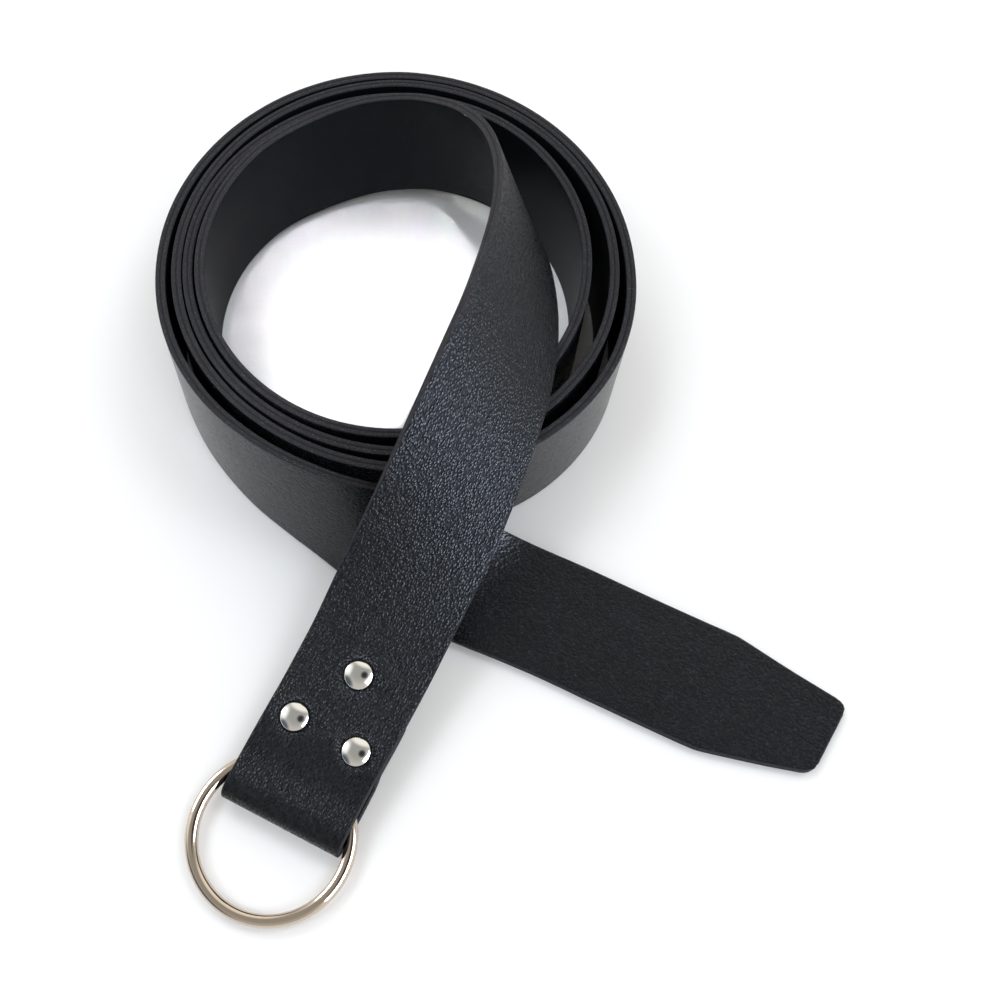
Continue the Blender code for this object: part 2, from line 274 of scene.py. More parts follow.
def layer_gap(back):
    """Gap between the strap and its flap, at a distance back from the fold."""
    if back <= FOLD_DEPTH:
        return 2 * FOLD_INSIDE
    part = min(1.0, (back - FOLD_DEPTH) / (FOLD_CLOSED - FOLD_DEPTH))
    return LAYER_GAP + (2 * FOLD_INSIDE - LAYER_GAP) * (1 - part) ** 2


def places_along(stretches):
    """Places along the leather, from rows of start, end and the widest spacing between them."""
    places = [0.0]
    for start, end, spacing in stretches:
        steps = max(1, math.ceil((end - start) / spacing))
        places.extend(np.linspace(start, end, steps + 1)[1:])
    return places


def strap_stations():
    """Rows of run along the leather, grain-face centre, inward, across, half width and pinch.

    A pinch of 1 closes the section onto its middle, which is how each cut end is capped.
    """
    ring_end = STRAP_LENGTH - RING_END_LENGTH
    flap = FLAP_LENGTH - FOLD_OUTSIDE
    flap_corners = flap - FLAP_CORNERS
    # start, end, spacing
    along_strap = (
        (0.0, TIP_CORNERS, 0.4),
        (TIP_CORNERS, TIP_SHOULDERS, 1.4),
        (TIP_SHOULDERS, ring_end, 3.1),
        (ring_end, FOLD_START, 0.9),
    )
    along_flap = (
        (0.0, flap_corners, 1.1),
        (flap_corners, flap, 0.4),
    )
    rows = []
    for place in places_along(along_strap):
        centre, along, across, out = station(place)
        across -= along * TIP_SKEW * max(0.0, 1 - place / TIP_SKEW_LENGTH)
        rows.append((place, centre, -out, across, half_width(TIP_OUTLINE, place), 0.0))
    centre, along, across, out = station(FOLD_START)
    axis = centre - out * FOLD_OUTSIDE
    for angle in np.linspace(0, math.pi, FOLD_STEPS + 1)[1:-1]:
        spoke = out * math.cos(angle) + along * math.sin(angle)
        run = FOLD_START + angle * FOLD_OUTSIDE
        rows.append((run, axis + spoke * FOLD_OUTSIDE, -spoke, across, STRAP_WIDTH / 2, 0.0))
    # The flap's slope is taken over this distance on either side.
    near = 0.4
    for back in places_along(along_flap):
        centre, along, across, out = station(FOLD_START - back)
        ahead = layer_gap(back + FOLD_OUTSIDE + near)
        behind = layer_gap(back + FOLD_OUTSIDE - near)
        down = -out + along * (ahead - behind) / (2 * near)
        down /= np.linalg.norm(down)
        inner = centre - out * (STRAP_THICKNESS + layer_gap(back + FOLD_OUTSIDE))
        half = half_width(FLAP_OUTLINE, flap - back)
        rows.append((FLAP_START + back, inner + down * STRAP_THICKNESS, -down, across, half, 0.0))
    # Each end gets a slightly smaller section at its very end and a closed one on the same spot.
    for end, beside, side in ((0, 1, 1), (-1, -2, -1)):
        row = rows[end]
        inwards = rows[beside][1] - row[1]
        inwards /= np.linalg.norm(inwards)
        rounded = (row[0] - side * END_ROUNDING, *row[1:4], row[4] - END_ROUNDING, END_PINCH)
        closed = (row[0] - side * STRAP_THICKNESS / 2, *row[1:4], row[4] - END_DRAWN_IN, 1.0)
        rows[end] = (row[0], row[1] + inwards * END_ROUNDING, *row[2:])
        if side > 0:
            rows[:0] = [closed, rounded]
        else:
            rows += [rounded, closed]
    return rows


def strap_profile():
    """The cross-section, around from the grain face's upper edge.

    Each row has the place across as a share of the half width, what is added to it, the depth
    from the grain face, and how its place around the section is worked out from the half width.
    """
    corner = CORNER_RADIUS
    thick = STRAP_THICKNESS
    middle = thick / 2
    groove = BOND_GROOVE_HALF
    beside_groove = 0.8
    turned = [(corner * math.sin(math.radians(a)), corner * (1 - math.cos(math.radians(a))))
              for a in (30, 60)]
    edge = turned + [
        (corner, corner),
        (corner, middle - beside_groove),
        (corner, middle - groove),
        (corner - BOND_GROOVE_DEPTH, middle),
        (corner, middle + groove),
        (corner, middle + beside_groove),
        (corner, thick - corner),
    ]
    edge += [(reach, thick - depth) for reach, depth in turned[::-1]]
    rows = []
    for index in range(FACE_COLUMNS + 1):
        rows.append((1 - 2 * index / FACE_COLUMNS, 0.0, 0.0, 0, -1, 0.0))
    for reach, depth in edge:
        rows.append((-1, -reach, depth, 1, 0, depth))
    for index in range(FACE_COLUMNS + 1):
        rows.append((2 * index / FACE_COLUMNS - 1, 0.0, thick, 2, 1, thick))
    for reach, depth in edge[::-1]:
        rows.append((1, reach, depth, 3, 0, 2 * thick - depth))
    rows.append((1, 0.0, 0.0, 4, -1, 2 * thick))
    return rows, len(edge)


def point_mesh(name, points, attributes):
    """Object of loose points with named attributes, for a tree of nodes to read."""
    mesh = bpy.data.meshes.new(name)
    mesh.from_pydata([tuple(point) for point in points], [], [])
    for label, values in attributes.items():
        values = np.asarray(values, dtype=np.float32)
        vector = values.ndim == 2
        kind = "FLOAT_VECTOR" if vector else "FLOAT"
        attribute = mesh.attributes.new(label, kind, "POINT")
        attribute.data.foreach_set("vector" if vector else "value", values.ravel())
    thing = bpy.data.objects.new(name, mesh)
    bpy.context.scene.collection.objects.link(thing)
    return thing


def feed(tree, made, inputs):
    """Gives a node's sockets, by name or number, their values or links. A value that is a node
    links that node's first live output."""
    for name, value in inputs.items():
        if isinstance(value, bpy.types.Node):
            value = next(socket for socket in value.outputs if socket.enabled)
        if isinstance(value, bpy.types.NodeSocket):
            tree.links.new(value, made.inputs[name])
        else:
            made.inputs[name].default_value = value
    return made


def node(tree, kind, inputs=None, **settings):
    """Adds a node with its settings, and gives its sockets their values or links."""
    made = tree.nodes.new(kind)
    for name, value in settings.items():
        setattr(made, name, value)
    return feed(tree, made, inputs or {})


def linear(code):
    """sRGB hex colour as linear values, with alpha."""
    parts = [int(code[start:start + 2], 16) / 255 for start in (1, 3, 5)]
    return (*(c / 12.92 if c <= 0.04045 else ((c + 0.055) / 1.055) ** 2.4 for c in parts), 1.0)


def new_material(name):
    """A node material and its Principled shader."""
    material = bpy.data.materials.new(name)
    material.use_nodes = True
    return material, material.node_tree, material.node_tree.nodes["Principled BSDF"]


def embossed_leather():
    """Top-grain cowhide, drum dyed black and plate embossed with a fine pebble, then sprayed with
    a satin finish. Each pebble glints cool on the side that faces a window, painted shade darkens
    the creases between them and a thin ring around each rivet cap, and the leather is pulled
    smooth over the fold and puckers at the rivets."""
    pebble = 0.7 * MM
    pebble_length = 1.5
    pebble_lean = 1.2
    crease_warp = 0.2 * MM
    painted_crease_shade = 0.5
    grain_depth = 0.22 * MM
    pore = 0.28 * MM
    mottle = 11.0 * MM
    # The grain is worn low on the free end and the outer turn, and comes back between these places.
    worn_to, fresh_from = 600 * MM, 1000 * MM
    # On the worn parts the painted shade is an even first value instead of following the creases.
    worn_painted_shade, worn_relief = 0.88, 0.36
    # Bands where the grain is drawn flat: half width, where it is whole again, what is left of it.
    fold_band = (8 * MM, 12 * MM, 0.1)
    bulge_band = (3 * MM, 9 * MM, 0.45)
    bulge_from_fold = 25 * MM
    # Around a rivet's middle: the puckered ring and the band of painted shade under the cap's rim.
    pucker = (4.6 * MM, 8.0 * MM, 0.9)
    rim_shade_band = (4.7 * MM, 5.05 * MM, 1.0)
    material, tree, shader = new_material("embossed_black_leather")
    place = node(tree, "ShaderNodeUVMap", uv_map="UVMap")
    warp = node(tree, "ShaderNodeTexNoise", {"Vector": place, "Scale": 0.6 / pebble, "Detail": 2.0})
    warp = node(tree, "ShaderNodeVectorMath", {0: warp.outputs["Color"], 1: (0.5, 0.5, 0.5)},
                operation="SUBTRACT")
    warped = node(tree, "ShaderNodeVectorMath", {0: warp, 1: (2 * crease_warp,) * 3, 2: place},
                  operation="MULTIPLY_ADD")
    stretched = node(tree, "ShaderNodeVectorMath", {0: warped, 1: (1 / pebble_length, 1.0, 1.0)},
                     operation="MULTIPLY")
    pattern = {"Vector": stretched, "Scale": 1 / pebble, "Randomness": 0.7}
    cells = node(tree, "ShaderNodeTexVoronoi", pattern, feature="F1")
    creases = node(tree, "ShaderNodeTexVoronoi", pattern, feature="DISTANCE_TO_EDGE")
    bulge = node(tree, "ShaderNodeMath", {0: cells.outputs["Distance"], 1: 2.0}, operation="POWER")
    domes = node(tree, "ShaderNodeMapRange",
                 {"Value": bulge, "From Max": 0.5, "To Min": 1.0, "To Max": 0.0})
    # Each pebble leans its own way, so that some catch the light more than others.
    aside = node(tree, "ShaderNodeVectorMath", {0: stretched, 1: cells.outputs["Position"]},
                 operation="SUBTRACT")
    lean = node(tree, "ShaderNodeVectorMath", {0: cells.outputs["Color"], 1: (0.5, 0.5, 0.5)},
                operation="SUBTRACT")
    lean = node(tree, "ShaderNodeVectorMath", {0: lean, 1: aside}, operation="DOT_PRODUCT")
    domes = node(tree, "ShaderNodeMath", {0: lean, 1: pebble_lean / pebble, 2: domes},
                 operation="MULTIPLY_ADD")
    swell = node(tree, "ShaderNodeMapRange", {"Value": cells.outputs["Color"], "To Min": 0.8})
    # Painted shade: the colour and the gloss darken towards the creases between the pebbles.
    painted_shade = node(tree, "ShaderNodeMapRange",
                 {"Value": creases, "From Min": 0.02, "From Max": 0.26, "To Min": painted_crease_shade},
                 interpolation_type="SMOOTHSTEP")
    pores = node(tree, "ShaderNodeTexNoise", {"Vector": place, "Scale": 1 / pore, "Detail": 2.0})
    hide = node(tree, "ShaderNodeTexNoise", {"Vector": place, "Scale": 1 / mottle, "Detail": 4.0})

    # How strongly the grain shows: it is low on the free end and the outer turn, hardly there over
    # the fold, drawn flat where the ring bulges the pocket, and fuller close around each rivet.
    along = node(tree, "ShaderNodeSeparateXYZ", {"Vector": place}).outputs["X"]
    fresh = node(tree, "ShaderNodeMapRange",
                 {"Value": along, "From Min": worn_to, "From Max": fresh_from, "To Min": 0.12},
                 interpolation_type="SMOOTHSTEP")
    # On the worn parts the painted shade is mostly even, at its worn level.
    painted_shade = node(tree, "ShaderNodeMix", {"Factor": fresh, "A": worn_painted_shade, "B": painted_shade})
    fullness = node(tree, "ShaderNodeMath", {0: fresh, 1: worn_relief}, operation="MAXIMUM")
    fold_middle = (FOLD_START + FLAP_START) / 2 * MM
    bands = []
    from_here = along
    for middle, (flat, whole, left) in ((fold_middle, fold_band), (bulge_from_fold, bulge_band)):
        from_here = node(tree, "ShaderNodeMath", {0: from_here, 1: middle}, operation="SUBTRACT")
        from_here = node(tree, "ShaderNodeMath", {0: from_here}, operation="ABSOLUTE")
        bands.append(node(tree, "ShaderNodeMapRange",
                          {"Value": from_here, "From Min": flat, "From Max": whole,
                           "To Min": left}, interpolation_type="SMOOTHSTEP"))
    shown = node(tree, "ShaderNodeMath", {0: bands[0], 1: bands[1]}, operation="MULTIPLY")
    shown = node(tree, "ShaderNodeMath", {0: shown, 1: fullness}, operation="MULTIPLY")
    painted_rim_shade = 0.0
    for back, sideways in RIVET_PLACES:
        seat = ((STRAP_LENGTH - back) * MM, -sideways * MM, 0.0)
        away = node(tree, "ShaderNodeVectorMath", {0: place, 1: seat}, operation="DISTANCE")
        # Each rivet puckers the grain, and gets a ring of painted shade under its cap's rim.
        puckered, rim_shade_ring = (
            node(tree, "ShaderNodeMapRange",
                 {"Value": away, "From Min": full, "From Max": gone, "To Min": most, "To Max": 0.0},
                 interpolation_type="SMOOTHSTEP")
            for full, gone, most in (pucker, rim_shade_band))
        shown = node(tree, "ShaderNodeMath", {0: shown, 1: puckered})
        painted_rim_shade = node(tree, "ShaderNodeMath", {0: rim_shade_ring, 1: painted_rim_shade}, operation="MAXIMUM")
    height = node(tree, "ShaderNodeMath", {0: domes, 1: swell}, operation="MULTIPLY")
    height = node(tree, "ShaderNodeMix", {"Factor": 0.1, "A": height, "B": pores})
    height = node(tree, "ShaderNodeMath", {0: height, 1: shown}, operation="MULTIPLY")
    bump = node(tree, "ShaderNodeBump",
                {"Height": height, "Strength": 1.0, "Distance": grain_depth})
    colour = node(tree, "ShaderNodeMix",
                  {"Factor": hide, "A": linear("#090b0d"), "B": linear("#101317")},
                  data_type="RGBA")
    # Painted shade darkens the colour and the gloss in the creases and on the worn parts.
    colour = node(tree, "ShaderNodeMix", {"Factor": painted_shade, "A": linear("#000000"), "B": colour},
                  data_type="RGBA")
    gloss_with_painted_shade = node(tree, "ShaderNodeMix",
                 {"Factor": painted_shade, "A": linear("#000000"), "B": linear("#f2f6fc")},
                 data_type="RGBA")
    # Painted shade: a dark line around each cap, where its rim shades the leather.
    colour = node(tree, "ShaderNodeMix", {"Factor": painted_rim_shade, "A": colour, "B": linear("#010101")},
                  data_type="RGBA")
    rough_crease = node(tree, "ShaderNodeMapRange",
                        {"Value": fresh, "To Min": 0.24, "To Max": 0.6})
    rough = node(tree, "ShaderNodeMapRange",
                 {"Value": domes, "To Min": rough_crease, "To Max": 0.2})
    rough = node(tree, "ShaderNodeMath", {0: rough, 1: painted_rim_shade}, operation="MAXIMUM")
    feed(tree, shader, {"Base Color": colour, "Specular Tint": gloss_with_painted_shade, "Roughness": rough,
                        "Normal": bump, "Specular IOR Level": 0.37})
    return material


def smooth_backing():
    """The inner layer of the same hide, dyed and plated flat. It has hardly any grain, and gives
    an even, nearly black face with faint mottling."""
    nap = 0.35 * MM
    nap_depth = 0.04 * MM
    mottle = 14 * MM
    material, tree, shader = new_material("plated_leather_backing")
    place = node(tree, "ShaderNodeUVMap", uv_map="UVMap")
    fuzz = node(tree, "ShaderNodeTexNoise", {"Vector": place, "Scale": 1 / nap, "Detail": 3.0})
    hide = node(tree, "ShaderNodeTexNoise", {"Vector": place, "Scale": 1 / mottle, "Detail": 4.0})
    colour = node(tree, "ShaderNodeMix",
                  {"Factor": hide, "A": linear("#08090b"), "B": linear("#0e1013")},
                  data_type="RGBA")
    bump = node(tree, "ShaderNodeBump", {"Height": fuzz, "Strength": 0.5, "Distance": nap_depth})
    feed(tree, shader, {"Base Color": colour, "Normal": bump, "Roughness": 0.5,
                        "Specular IOR Level": 0.1, "Specular Tint": linear("#dce8f2")})
    return material


def raw_edge():
    """The cut edge of the two bonded layers, dyed black through but not painted. It shows fine
    grey fibres that run along the strap, light flecks where fibres stand up, and a dark bond.
    Real fibres are about 0.05 mm wide, and are drawn eight times as coarse so that they show."""
    fibre = 0.4 * MM
    fibre_depth = 0.15 * MM
    fleck = 0.55 * MM
    unflecked_share = 0.66
    bond_dark, bond_gone = 0.12 * MM, 0.42 * MM
    material, tree, shader = new_material("raw_cut_leather_edge")
    place = node(tree, "ShaderNodeUVMap", uv_map="UVMap")
    streaked = node(tree, "ShaderNodeVectorMath", {0: place, 1: (0.55, 1.0, 1.0)},
                    operation="MULTIPLY")
    fibres = node(tree, "ShaderNodeTexNoise",
                  {"Vector": streaked, "Scale": 1 / fibre, "Detail": 4.0, "Roughness": 0.75})
    flecks = node(tree, "ShaderNodeTexVoronoi", {"Vector": place, "Scale": 1 / fleck},
                  feature="F1")
    light = node(tree, "ShaderNodeMapRange",
                 {"Value": flecks.outputs["Distance"], "From Min": 0.12, "From Max": 0.34,
                  "To Min": 1.0, "To Max": 0.0})
    lit = node(tree, "ShaderNodeMath", {0: flecks.outputs["Color"], 1: unflecked_share},
               operation="GREATER_THAN")
    light = node(tree, "ShaderNodeMath", {0: light, 1: lit}, operation="MULTIPLY")
    depth = node(tree, "ShaderNodeAttribute", attribute_name="depth").outputs["Fac"]
    bond = node(tree, "ShaderNodeMath", {0: depth, 1: STRAP_THICKNESS / 2 * MM},
                operation="SUBTRACT")
    bond = node(tree, "ShaderNodeMath", {0: bond}, operation="ABSOLUTE")
    bond = node(tree, "ShaderNodeMapRange",
                {"Value": bond, "From Min": bond_dark, "From Max": bond_gone, "To Min": 0.7,
                 "To Max": 0.0})
    tones = node(tree, "ShaderNodeMapRange",
                 {"Value": fibres, "From Min": 0.36, "From Max": 0.66})
    colour = node(tree, "ShaderNodeMix",
                  {"Factor": tones, "A": linear("#141417"), "B": linear("#323236")},
                  data_type="RGBA")
    for part, tone in ((light, "#5a5958"), (bond, "#060606")):
        colour = node(tree, "ShaderNodeMix", {"Factor": part, "A": colour, "B": linear(tone)},
                      data_type="RGBA")
    bump = node(tree, "ShaderNodeBump",
                {"Height": fibres, "Strength": 1.0, "Distance": fibre_depth})
    feed(tree, shader, {"Base Color": colour, "Normal": bump, "Roughness": 0.8,
                        "Specular IOR Level": 0.2})
    return material


def new_tree(name, wanted):
    """A Geometry Nodes tree, the identifiers of its named inputs, and the sockets they feed."""
    tree = bpy.data.node_groups.new(name, "GeometryNodeTree")
    tree.is_modifier = True
    tree.interface.new_socket("Geometry", in_out="OUTPUT", socket_type="NodeSocketGeometry")
    names = {}
    for label, kind in wanted:
        socket = tree.interface.new_socket(label, in_out="INPUT", socket_type="NodeSocket" + kind)
        names[label] = socket.identifier
    return tree, names, node(tree, "NodeGroupInput").outputs


# The three finishes by number: the grain face, the raw edges and the backing.
GRAIN, EDGE, BACKING = range(3)


def strap_nodes(profile_rows, edge_columns, materials):
    """Geometry Nodes tree that sweeps the section along the stations and dishes the rivet seats."""
    tree, names, given = new_tree("sweep_strap", (
        ("Stations", "Geometry"), ("Section", "Object"), ("Corner Radius", "Float"),
        ("Edge Wander", "Float"), ("Wander Seed", "Float"), ("Dish Depth", "Float"),
        ("Dish Radius", "Float")))
    section = node(tree, "GeometryNodeObjectInfo", {"Object": given["Section"]})
    columns = len(profile_rows) - 1

    count = node(tree, "GeometryNodeAttributeDomainSize",
                 {"Geometry": given["Stations"]}).outputs["Point Count"]
    grid = node(tree, "GeometryNodeMeshGrid", {"Vertices X": count, "Vertices Y": columns + 1})
    number = node(tree, "GeometryNodeInputIndex")
    row = node(tree, "FunctionNodeIntegerMath", {0: number, 1: columns + 1},
               operation="DIVIDE_FLOOR")
    column = node(tree, "FunctionNodeIntegerMath", {0: number, 1: columns + 1},
                  operation="MODULO")

    read = {}
    station_values = {"run": "FLOAT", "inward": "FLOAT_VECTOR", "across": "FLOAT_VECTOR",
                      "half": "FLOAT", "pinch": "FLOAT"}
    section_values = dict.fromkeys(("share", "added", "depth", "halves", "side", "start"), "FLOAT")
    for kinds, source, index in ((station_values, given["Stations"], row),
                                 (section_values, section.outputs["Geometry"], column)):
        for label, kind in kinds.items():
            value = node(tree, "GeometryNodeInputNamedAttribute", {"Name": label}, data_type=kind)
            read[label] = node(tree, "GeometryNodeSampleIndex",
                               {"Geometry": source, "Value": value, "Index": index},
                               data_type=kind)
    here = node(tree, "GeometryNodeInputPosition")
    centre = node(tree, "GeometryNodeSampleIndex",
                  {"Geometry": given["Stations"], "Value": here, "Index": row},
                  data_type="FLOAT_VECTOR")

    # Across: a share of the half width less the corner, what the corner adds, and a little wander.
    flat_half = node(tree, "ShaderNodeMath", {0: read["half"], 1: given["Corner Radius"]},
                     operation="SUBTRACT")
    reach = node(tree, "ShaderNodeMath", {0: read["share"], 1: flat_half, 2: read["added"]},
                 operation="MULTIPLY_ADD")
    edge_side = node(tree, "ShaderNodeMath", {0: read["share"]}, operation="SIGN")
    spot = node(tree, "ShaderNodeCombineXYZ",
                {"X": read["run"], "Y": edge_side, "Z": read["depth"]})
    wander = node(tree, "ShaderNodeTexNoise",
                  {"Vector": spot, "W": given["Wander Seed"],
                   "Scale": 1 / (EDGE_WANDER_LENGTH * MM), "Detail": 3.0}, noise_dimensions="4D")
    wander = node(tree, "ShaderNodeMath", {0: wander, 1: 0.5}, operation="SUBTRACT")
    wander = node(tree, "ShaderNodeMath", {0: wander, 1: given["Edge Wander"]},
                  operation="MULTIPLY")
    unpinched = node(tree, "ShaderNodeMath", {0: 1.0, 1: read["pinch"]}, operation="SUBTRACT")
    wander = node(tree, "ShaderNodeMath", {0: wander, 1: unpinched}, operation="MULTIPLY")
    reach = node(tree, "ShaderNodeMath", {0: wander, 1: read["share"], 2: reach},
                 operation="MULTIPLY_ADD")

    # Depth: the section's own, pinched onto the middle at the cut ends, and dished at the rivets.
    middle = STRAP_THICKNESS / 2 * MM
    sunk = node(tree, "ShaderNodeMix", {"Factor": read["pinch"], "A": read["depth"], "B": middle})
    grain_side = node(tree, "ShaderNodeMath", {0: read["depth"], 1: middle}, operation="LESS_THAN")
    spot = node(tree, "ShaderNodeCombineXYZ", {"X": read["run"], "Y": reach})
    for back, sideways in RIVET_PLACES:
        for run in (STRAP_LENGTH - back, FLAP_START + back - FOLD_OUTSIDE):
            away = node(tree, "ShaderNodeVectorMath",
                        {0: spot, 1: (run * MM, sideways * MM, 0.0)}, operation="DISTANCE")
            dish = node(tree, "ShaderNodeMapRange",
                        {"Value": away, "From Min": RIVET_DISH_FLAT * MM,
                         "From Max": given["Dish Radius"], "To Min": given["Dish Depth"],
                         "To Max": 0.0}, interpolation_type="SMOOTHSTEP")
            sunk = node(tree, "ShaderNodeMath", {0: dish, 1: grain_side, 2: sunk},
                        operation="MULTIPLY_ADD")

    inward = node(tree, "ShaderNodeVectorMath", {0: read["inward"], "Scale": sunk},
                  operation="SCALE")
    aside = node(tree, "ShaderNodeVectorMath", {0: read["across"], "Scale": reach},
                 operation="SCALE")
    point = node(tree, "ShaderNodeVectorMath", {0: inward, 1: aside})
    point = node(tree, "ShaderNodeVectorMath", {0: centre, 1: point})

    # The flat place of each point: its run along the leather and its way around the section.
    around = node(tree, "ShaderNodeMath", {0: read["side"], 1: reach, 2: read["start"]},
                  operation="MULTIPLY_ADD")
    around = node(tree, "ShaderNodeMath", {0: read["halves"], 1: read["half"], 2: around},
                  operation="MULTIPLY_ADD")
    flat = node(tree, "ShaderNodeCombineXYZ", {"X": read["run"], "Y": around})
    shape = node(tree, "GeometryNodeStoreNamedAttribute",
                 {"Geometry": grid, "Name": "flat_place", "Value": flat},
                 data_type="FLOAT_VECTOR", domain="POINT")
    shape = node(tree, "GeometryNodeStoreNamedAttribute",
                 {"Geometry": shape, "Name": "depth", "Value": read["depth"]},
                 data_type="FLOAT", domain="POINT")
    stored = node(tree, "GeometryNodeInputNamedAttribute", {"Name": "flat_place"},
                  data_type="FLOAT_VECTOR")
    shape = node(tree, "GeometryNodeStoreNamedAttribute",
                 {"Geometry": shape, "Name": "UVMap", "Value": stored},
                 data_type="FLOAT2", domain="CORNER")

    # Each face's finish, from its column. The end caps are raw edge all over.
    face_column = node(tree, "FunctionNodeIntegerMath", {0: number, 1: columns},
                       operation="MODULO")
    face_row = node(tree, "FunctionNodeIntegerMath", {0: number, 1: columns},
                    operation="DIVIDE_FLOOR")
    last_row = node(tree, "FunctionNodeIntegerMath", {0: count, 1: 3}, operation="SUBTRACT")
    backing_start = FACE_COLUMNS + edge_columns + 1
    tests = ((face_column, "LESS_THAN", FACE_COLUMNS),
             (face_column, "GREATER_THAN", backing_start - 1),
             (face_column, "LESS_THAN", backing_start + FACE_COLUMNS),
             (face_row, "GREATER_THAN", 1),
             (face_row, "LESS_THAN", last_row))
    found = [node(tree, "FunctionNodeCompare", {2: value, 3: limit}, data_type="INT",
                  operation=operation) for value, operation, limit in tests]
    body = node(tree, "FunctionNodeBooleanMath", {0: found[3], 1: found[4]})
    on_grain = node(tree, "FunctionNodeBooleanMath", {0: found[0], 1: body})
    on_back = node(tree, "FunctionNodeBooleanMath", {0: found[1], 1: found[2]})
    on_back = node(tree, "FunctionNodeBooleanMath", {0: on_back, 1: body})
    for label, chosen in (("on_grain", on_grain), ("on_back", on_back)):
        shape = node(tree, "GeometryNodeStoreNamedAttribute",
                     {"Geometry": shape, "Name": label, "Value": chosen},
                     data_type="BOOLEAN", domain="FACE")

    shape = node(tree, "GeometryNodeSetPosition", {"Geometry": shape, "Position": point})
    shape = node(tree, "GeometryNodeMergeByDistance", {"Geometry": shape, "Distance": 0.002 * MM})
    shape = node(tree, "GeometryNodeRealizeInstances", {"Geometry": shape})
    shape = node(tree, "GeometryNodeSetMaterial",
                 {"Geometry": shape, "Material": materials[EDGE]})
    for label, material in (("on_grain", materials[GRAIN]), ("on_back", materials[BACKING])):
        chosen = node(tree, "GeometryNodeInputNamedAttribute", {"Name": label},
                      data_type="BOOLEAN")
        shape = node(tree, "GeometryNodeSetMaterial",
                     {"Geometry": shape, "Selection": chosen, "Material": material})
    node(tree, "NodeGroupOutput", {"Geometry": shape})
    return tree, names


def made_mesh(guide, tree, names, values):
    """Runs a Geometry Nodes tree on a guide object and gives the plain mesh that it makes."""
    modifier = guide.modifiers.new(tree.name, "NODES")
    modifier.node_group = tree
    for label, value in values.items():
        modifier[names[label]] = value
    depsgraph = bpy.context.evaluated_depsgraph_get()
    mesh = bpy.data.meshes.new_from_object(guide.evaluated_get(depsgraph),
                                           preserve_all_data_layers=True, depsgraph=depsgraph)
    # The guide itself has no finish, and leaves an empty slot.
    mesh.materials.pop(index=0)
    bpy.data.objects.remove(guide, do_unlink=True)
    return mesh


def finished(name, mesh, nodes):
    """Object of a finished mesh that rides on the belt and stands for its CAD nodes."""
    mesh.name = name
    mesh.shade_smooth()
    thing = bpy.data.objects.new(name, mesh)
    bpy.context.scene.collection.objects.link(thing)
    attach(thing, "root")
    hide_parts(*nodes)


rows = strap_stations()
profile, edge_count = strap_profile()
stations = point_mesh("strap_stations", [row[1] * MM for row in rows], {
    "run": [row[0] * MM for row in rows],
    "inward": [row[2] for row in rows],
    "across": [row[3] for row in rows],
    "half": [row[4] * MM for row in rows],
    "pinch": [row[5] for row in rows],
})
section_shape = point_mesh("strap_section", [(0.0, 0.0, 0.0) for row in profile], {
    "share": [row[0] for row in profile],
    "added": [row[1] * MM for row in profile],
    "depth": [row[2] * MM for row in profile],
    "halves": [row[3] for row in profile],
    "side": [row[4] for row in profile],
    "start": [row[5] * MM for row in profile],
})
finishes = [embossed_leather(), raw_edge(), smooth_backing()]
strap_tree, strap_inputs = strap_nodes(profile, edge_count, finishes)
strap_mesh = made_mesh(stations, strap_tree, strap_inputs, {
    "Section": section_shape,
    "Corner Radius": CORNER_RADIUS * MM,
    "Edge Wander": EDGE_WANDER * MM,
    "Wander Seed": 3.0,
    "Dish Depth": RIVET_DISH_DEPTH * MM,
    "Dish Radius": RIVET_DISH_RADIUS * MM,
})
bpy.data.objects.remove(section_shape, do_unlink=True)
finished("leather_strap", strap_mesh, ["strap"])

# The ring is 4 mm round steel wire, welded, barrel polished and nickel plated. It hangs in the
# fold, with its weld inside the leather.

RING_OUTER = 52.0
RING_BEYOND_FOLD = 3.5
RING_SIDEWAYS = 0.8
RING_STEPS = 180
WIRE_STEPS = 32
# The weld is in the middle of the side that lies in the leather.
WELD_TURN = 1.5 * math.pi
WELD_SWELL = 0.08
WELD_REACH = 0.9


def polished_nickel(name, tint, scuff):
    """Bright nickel plate over polished steel. It mirrors the room with a warm cast, and faint
    rubbing marks spread its highlights a little."""
    rub_width = 1.8 * MM
    rub_depth = 0.02 * MM
    unrubbed = 0.06
    material, tree, shader = new_material(name)
    place = node(tree, "ShaderNodeTexCoord").outputs["Object"]
    rubbed = node(tree, "ShaderNodeTexNoise",
                  {"Vector": place, "Scale": 1 / rub_width, "Detail": 5.0, "Roughness": 0.7})
    rough = node(tree, "ShaderNodeMapRange",
                 {"Value": rubbed, "From Min": 0.35, "From Max": 0.7, "To Min": unrubbed,
                  "To Max": scuff})
    bump = node(tree, "ShaderNodeBump",
                {"Height": rubbed, "Strength": 0.12, "Distance": rub_depth})
    feed(tree, shader, {"Base Color": linear(tint), "Metallic": 1.0, "Roughness": rough,
                        "Normal": bump})
    return material


